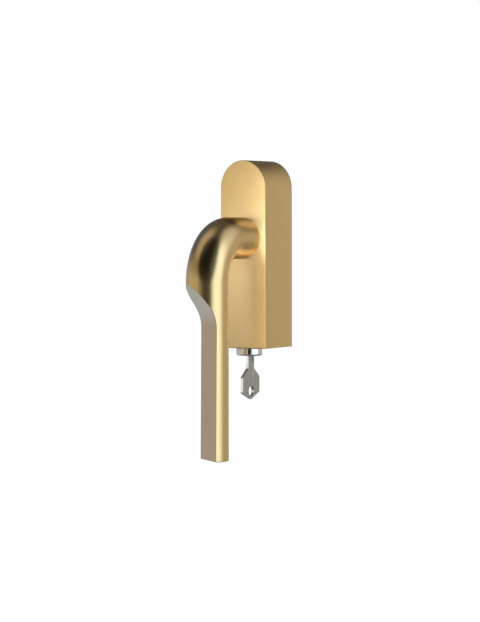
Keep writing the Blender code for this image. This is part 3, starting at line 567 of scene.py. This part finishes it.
def bar_section(height, inset=0.0, arc_steps=110, flat_steps=28, edge_steps=4):
    """The bar's outline across its axis, cut flat at a height from the axis.

    Points are (across, forward); the cut's corners are rounded by FLAT_EDGE.
    """
    normal = math.pi / 2 + FLAT_TURN
    radius = BAR_RADIUS - inset
    height = min(height, BAR_RADIUS) - inset
    least = math.radians(5.0)
    corner = max(math.acos(max(-1.0, min(1.0, height / radius))), least)
    trim = FLAT_EDGE / radius
    outline = arc(radius, normal + corner + trim, normal + math.tau - corner - trim, arc_steps)

    def polar(angle):
        reach = radius
        if corner <= least and height < radius:
            reach = min(radius, height / math.cos(angle))
        return Vector((reach * math.cos(normal + angle), reach * math.sin(normal + angle)))

    first, last = polar(-corner), polar(corner)
    across = last - first
    cut = []
    for step in range(flat_steps + 1):
        share = step / flat_steps
        if corner > least:
            inner = FLAT_EDGE / across.length
            cut.append(first + across * (inner + (1 - 2 * inner) * share))
        else:
            cut.append(polar((corner - trim) * (2 * share - 1)))

    def rounding(start, tip, end):
        steps = [step / edge_steps for step in range(1, edge_steps)]
        return [(1 - t) ** 2 * start + 2 * t * (1 - t) * tip + t * t * end for t in steps]

    outline = [Vector(point) for point in outline]
    return outline + rounding(outline[-1], first, cut[0]) + cut + rounding(cut[-1], last, outline[0])


def place_section(section, centre, lean):
    """Put a section on the bar's line: lean is 0 along the neck and a right angle on the grip."""
    forward = Vector((0, -math.sin(lean), math.cos(lean)))
    return [Vector(centre) + Vector((u, 0, 0)) + forward * v for u, v in section]


def make_lever():
    """The bent bar, one skin from its end cap to the journal behind the neck."""
    whole = bar_section(BAR_RADIUS * 2)
    bend_start = GRIP_Y + BEND_RADIUS
    rings = [place_section([point * (JOURNAL_RADIUS / BAR_RADIUS) for point in whole], (0, y, 0), 0.0)
             for y in (JOURNAL_END, NECK_END + 0.02 * MM, NECK_END)]
    edge_steps = 8
    for step in range(edge_steps + 1):
        turn = math.pi / 2 * step / edge_steps
        radius = BAR_RADIUS - NECK_ROUNDING * (1 - math.sin(turn))
        y = NECK_END - NECK_ROUNDING * (1 - math.cos(turn))
        rings.append(place_section([point * (radius / BAR_RADIUS) for point in whole], (0, y, 0), 0.0))
    neck_steps = 12
    neck_front = NECK_END - NECK_ROUNDING
    for step in range(1, neck_steps):
        y = neck_front + (bend_start - neck_front) * step / neck_steps
        rings.append(place_section(whole, (0, y, 0), 0.0))
    bend_steps = 72
    for step in range(bend_steps + 1):
        lean = math.pi / 2 * step / bend_steps
        centre = (0, bend_start - BEND_RADIUS * math.sin(lean), BEND_RADIUS * (math.cos(lean) - 1))
        rings.append(place_section(whole, centre, lean))
    fine_end, fine_step, coarse_step = -62 * MM, 0.35 * MM, 1.6 * MM
    z = -BEND_RADIUS - 0.4 * MM
    while z > LEVER_END + END_ROUNDING + 0.2 * MM:
        rings.append(place_section(bar_section(flat_height(z)), (0, GRIP_Y, z), math.pi / 2))
        z -= fine_step if z > fine_end else coarse_step
    end_steps = 5
    for step in range(end_steps + 1):
        turn = math.pi / 2 * step / end_steps
        inset = END_ROUNDING * (1 - math.cos(turn))
        z = LEVER_END + END_ROUNDING * (1 - math.sin(turn))
        rings.append(place_section(bar_section(flat_height(z), inset), (0, GRIP_Y, z), math.pi / 2))
    piece = add_piece("lever_bar", loft(rings))
    return settle(piece, "lever_brass", "lever_body", "lever", sharp=60.0)


def make_shank():
    """The lever's square shank, with its spindle socket, pin hole and clip groove."""
    half = SHANK_HALF
    outline = fillet([(-half, -half), (half, -half), (half, half), (-half, half)], 0.3 * MM, 3)
    shank = slab("lever_shank", outline, "Y", JOURNAL_END - 0.2 * MM, SHANK_END, 0.2 * MM)
    socket = SOCKET_HALF
    front, back = -CLIP_GROOVE[0], -CLIP_GROOVE[1]
    groove = [(CLIP_GROOVE_RADIUS, front), (9 * MM, front), (9 * MM, back), (CLIP_GROOVE_RADIUS, back)]
    carve(shank,
          block("socket", (-socket, SOCKET_FLOOR, -socket), (socket, SHANK_END + MM, socket)),
          rod("pin_hole", PIN_BORE, (-9 * MM, PIN_Y, 0), (9 * MM, PIN_Y, 0), 32),
          add_piece("groove", lathe(groove, (0, 0, 0), "front", 64)))
    return settle(shank, "lever_brass", "lever_body", "lever")


# ---- Key and slide spring ----

def key_notches():
    """The bittings: one V-shaped notch at each wafer, alternately in the two edges."""
    for index, z in enumerate(WAFER_HEIGHTS):
        depth = (0.5 + 0.25 * ((index * 2) % 5)) * MM
        side = 1 if index % 2 else -1
        outer = KEY_Y + side * (BLADE_HALF_WIDTH + 0.4 * MM)
        inner = KEY_Y + side * (BLADE_HALF_WIDTH - depth)
        outline = [(outer, z - depth - 1.2 * MM), (outer, z + depth + 1.2 * MM),
                   (inner, z + 0.4 * MM), (inner, z - 0.4 * MM)]
        yield slab(f"notch_{index}", outline, "X", -2 * MM, 2 * MM)


def make_key():
    """The flat key: notched blade, plain neck and six-sided bow with a round hole."""
    blade, neck, bow, tip = BLADE_HALF_WIDTH, KEY_NECK_HALF, BOW_HALF_WIDTH, BLADE_TIP
    point = 1.8 * MM
    right = [(0, BOW_TOP - BOW_LENGTH), (bow, BOW_TOP - BOW_SIDE_END), (bow, BOW_TOP - BOW_SHOULDER),
             (neck, BOW_TOP), (neck, KEY_NECK_TOP), (blade, KEY_NECK_TOP), (blade, tip - point),
             (blade - point, tip)]
    round_by = [0.6 * MM, 1.0 * MM, 1.0 * MM, 0.8 * MM, 0.1 * MM, 0.2 * MM, 0.4 * MM, 0.3 * MM]
    points = right + [(-y, z) for y, z in reversed(right[1:])]
    radii = round_by + list(reversed(round_by[1:]))
    outline = [(KEY_Y + y, z) for y, z in fillet(points, radii)]
    half = KEY_HALF_THICKNESS
    key = slab("key_blank", outline, "X", -half, half)
    hole_z = BOW_TOP - BOW_LENGTH + BOW_HOLE_RISE
    groove_y = KEY_Y + 1.3 * MM
    carve(key,
          rod("bow_hole", BOW_HOLE_RADIUS, (-2 * MM, KEY_Y, hole_z), (2 * MM, KEY_Y, hole_z)),
          *key_notches(),
          block("groove", (half - 0.5 * MM, groove_y, KEY_GROOVE_END),
                (half + MM, groove_y + 0.9 * MM, tip + MM)))
    soften(key, KEY_EDGE)
    return settle(key, "key_nickel", "key_body", "key")


def make_slide_spring():
    """The coil over the locking slide.
    """
    axis_y = (SPRING_LOW[1] + SPRING_HIGH[1]) / 2
    radius = (SPRING_HIGH[0] - SPRING_LOW[0]) / 2 - 2 * SPRING_WIRE
    low, high = SPRING_LOW[2] + SPRING_WIRE, SPRING_HIGH[2] - SPRING_WIRE
    sides = [math.radians(360 / SPRING_SIDES * side) for side in range(SPRING_SIDES)]
    last = SPRING_TURNS * SPRING_STEPS
    rings = []
    for step in range(last + 1):
        turn = math.radians(360 / SPRING_STEPS * step)
        out = Vector((math.cos(turn), math.sin(turn), 0.0))
        centre = Vector((0.0, axis_y, low + (high - low) * step / last)) + out * radius
        rings.append([centre + (out * math.cos(side) + UP * math.sin(side)) * SPRING_WIRE
                      for side in sides])
    spring = settle(add_piece("spring_coil", loft(rings)), "steel", "fixed_body", "slide_spring")
    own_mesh(spring)


def add_pieces():
    make_cover()
    make_lock_barrel()
    make_base_plate()
    make_screw("screw_upper", "fixing_screw_upper")
    make_screw("screw_lower", "fixing_screw_lower")
    make_lever()
    make_shank()
    make_key()
    make_slide_spring()


# ---- Studio ----

CAMERA_TURN, CAMERA_TILT, CAMERA_ROLL = (math.radians(angle) for angle in (28.0, 2.05, -0.1))
CAMERA_DISTANCE = 1.5467
CAMERA_LENS = 145.87
CAMERA_AIM = Vector((0.0, -0.01182, -0.01619))
CAMERA_AIM_LEFT = 0.01296
CAMERA_AIM_DOWN = 0.02868


def add_camera():
    """A long lens to the front right of the handle and a little above its middle."""
    turn, tilt, roll = CAMERA_TURN, CAMERA_TILT, CAMERA_ROLL
    back = Vector((math.sin(turn) * math.cos(tilt), -math.cos(turn) * math.cos(tilt), math.sin(tilt)))
    level = Vector((math.cos(turn), math.sin(turn), 0.0))
    right = Matrix.Rotation(roll, 3, back) @ level
    up = back.cross(right)
    target = CAMERA_AIM - right * CAMERA_AIM_LEFT - up * CAMERA_AIM_DOWN
    data = bpy.data.cameras.new("camera")
    data.lens = CAMERA_LENS
    data.sensor_fit = "VERTICAL"
    data.sensor_height = 36.0
    data.sensor_width = 36.0
    data.clip_start = 0.05
    camera = bpy.data.objects.new("camera", data)
    scene.collection.objects.link(camera)
    turned = Matrix((right, up, back)).transposed().to_4x4()
    camera.matrix_world = Matrix.Translation(target + back * CAMERA_DISTANCE) @ turned
    scene.camera = camera


def heading(azimuth, elevation):
    """A direction: azimuth 0 is towards the user and 90 towards +X, in degrees."""
    a, e = math.radians(azimuth), math.radians(elevation)
    return Vector((math.sin(a) * math.cos(e), -math.cos(a) * math.cos(e), math.sin(e)))


# Glows of the world: azimuth, elevation, full inside, nothing outside (degrees), colour. Their
# places and colours are fitted to what the photograph's metal reflects.
GLOWS = [
    (80.0, 12.0, 12.0, 46.0, (1.02, 1.25, 1.46)),
    (-60.0, 62.0, 8.0, 38.0, (0.42, 0.38, 0.32)),
    (118.0, 36.0, 10.0, 38.0, (0.55, 0.58, 0.60)),
    (-112.0, 0.0, 20.0, 60.0, (0.0, 0.03, 0.13)),
    (-125.0, -34.0, 12.0, 38.0, (0.30, 0.37, 0.52)),
    (-58.0, 5.0, 20.0, 45.0, (0.19, 0.15, 0.04)),
    (150.0, 0.0, 20.0, 50.0, (0.13, 0.105, 0.06)),
]
# A dark screen, given as a glow is, and the share of light left inside it.
FLAG = (24.0, 38.0, 42.0, 51.0)
FLAG_SHARE = 0.10
# The glow at eye level, and the shares of it left below and above, each reached over a span of
# the direction's height (-1 straight down, 1 straight up).
LEVEL_GLOW = (0.40, 0.38, 0.34)
FLOOR_SHARE = 0.40
FLOOR_BAND = (-0.35, 0.0)
CEILING_SHARE = 0.22
CEILING_BAND = (0.02, 0.42)

COVER_SHELL = ["cover_shell"]
KEY_BLANK = ["key_blank"]
# Area lights: name, azimuth, elevation (degrees), distance, width, height, power, aim, receivers.
SOFTBOXES = [
    ("front_softbox", -12.0, 0.0, 0.24, 0.10, 0.12, 0.070, (0, -0.036, 0.005), COVER_SHELL + KEY_BLANK),
    ("edge_strip", 0.0, 0.0, 0.03, 0.004, 0.12, 0.0095, (0.011, -0.0356, -0.018), COVER_SHELL),
    ("neck_strip", 0.0, 0.0, 0.025, 0.006, 0.018, 0.009, (0.0135, -0.0356, -0.001), COVER_SHELL),
    ("key_strip", -28.0, 0.0, 0.20, 0.10, 0.05, 0.06, (0, -0.027, -0.087), KEY_BLANK),
]
FLOOR_HEIGHT = -0.30
FLOOR_GLOW = 0.82


def add_world():
    """White to the camera; the level light, the glows and the dark screen to everything else."""
    world = bpy.data.worlds.new("studio")
    scene.world = world
    world.use_nodes = True
    tree = world.node_tree
    nodes, links = tree.nodes, tree.links
    nodes.clear()
    place = nodes.new("ShaderNodeTexCoord")
    split = nodes.new("ShaderNodeSeparateXYZ")
    links.new(place.outputs["Generated"], split.inputs[0])

    def ranged(value, low, high, to_low, to_high):
        node = nodes.new("ShaderNodeMapRange")
        node.interpolation_type = "SMOOTHSTEP"
        links.new(value, node.inputs["Value"])
        for index, number in enumerate((low, high, to_low, to_high), start=1):
            node.inputs[index].default_value = number
        return node.outputs["Result"]

    def combined(operation, first, second):
        node = nodes.new("ShaderNodeMath")
        node.operation = operation
        links.new(first, node.inputs[0])
        links.new(second, node.inputs[1])
        return node.outputs[0]

    def nearness(azimuth, elevation, inner, outer, low, high):
        dot = nodes.new("ShaderNodeVectorMath")
        dot.operation = "DOT_PRODUCT"
        links.new(place.outputs["Generated"], dot.inputs[0])
        dot.inputs[1].default_value = heading(azimuth, elevation)
        return ranged(dot.outputs["Value"], math.cos(math.radians(outer)), math.cos(math.radians(inner)),
                      low, high)

    def scaled(colour, amount):
        node = nodes.new("ShaderNodeVectorMath")
        node.operation = "SCALE"
        node.inputs[0].default_value = colour
        links.new(amount, node.inputs["Scale"])
        return node.outputs["Vector"]

    def added(first, second):
        node = nodes.new("ShaderNodeVectorMath")
        node.operation = "ADD"
        links.new(first, node.inputs[0])
        links.new(second, node.inputs[1])
        return node.outputs["Vector"]

    height = split.outputs["Z"]
    level = combined("MULTIPLY", ranged(height, *FLOOR_BAND, FLOOR_SHARE, 1.0),
                     ranged(height, *CEILING_BAND, 1.0, CEILING_SHARE))
    light = scaled(LEVEL_GLOW, level)
    for azimuth, elevation, inner, outer, colour in GLOWS:
        light = added(light, scaled(colour, nearness(azimuth, elevation, inner, outer, 0.0, 1.0)))
    studio = nodes.new("ShaderNodeBackground")
    links.new(light, studio.inputs["Color"])
    links.new(nearness(*FLAG, 1.0, FLAG_SHARE), studio.inputs["Strength"])
    plain = nodes.new("ShaderNodeBackground")
    plain.inputs["Color"].default_value = (1.0, 1.0, 1.0, 1.0)
    path = nodes.new("ShaderNodeLightPath")
    mix = nodes.new("ShaderNodeMixShader")
    links.new(path.outputs["Is Camera Ray"], mix.inputs["Fac"])
    links.new(studio.outputs[0], mix.inputs[1])
    links.new(plain.outputs[0], mix.inputs[2])
    output = nodes.new("ShaderNodeOutputWorld")
    links.new(mix.outputs[0], output.inputs["Surface"])


def add_softbox(name, azimuth, elevation, distance, width, height, power, aim, receivers):
    """A rectangular light that only the named pieces catch and shade, and that makes no bounces."""
    data = bpy.data.lights.new(name, "AREA")
    data.shape = "RECTANGLE"
    data.size = width
    data.size_y = height
    data.energy = power
    data.cycles.max_bounces = 0
    light = bpy.data.objects.new(name, data)
    scene.collection.objects.link(light)
    away = heading(azimuth, elevation)
    light.location = Vector(aim) + away * distance
    light.rotation_mode = "QUATERNION"
    light.rotation_quaternion = away.to_track_quat("Z", "Y")
    light.visible_camera = False
    group = bpy.data.collections.new(name + "_receivers")
    for receiver in receivers:
        group.objects.link(bpy.data.objects[receiver])
    light.light_linking.receiver_collection = group
    light.light_linking.blocker_collection = group


def add_floor():
    """A pale floor, well below the handle, that gives light and isn't seen in reflections."""
    bm = bmesh.new()
    bmesh.ops.create_grid(bm, x_segments=1, y_segments=1, size=3.0)
    bmesh.ops.translate(bm, vec=(0, 0, FLOOR_HEIGHT), verts=bm.verts)
    floor = add_piece("floor", bm)
    look = Look("pale_floor")
    look.shader.inputs["Base Color"].default_value = (0.9, 0.9, 0.9, 1.0)
    look.shader.inputs["Roughness"].default_value = 0.9
    look.shader.inputs["Emission Color"].default_value = (1.0, 1.0, 1.0, 1.0)
    look.shader.inputs["Emission Strength"].default_value = FLOOR_GLOW
    floor.data.materials.append(look.material)
    floor.visible_glossy = False
    floor.visible_diffuse = False


def add_studio():
    add_camera()
    add_world()
    add_floor()
    for softbox in SOFTBOXES:
        add_softbox(*softbox)
    scene.view_settings.view_transform = "Standard"


paint_cad_nodes()
add_pieces()
add_studio()
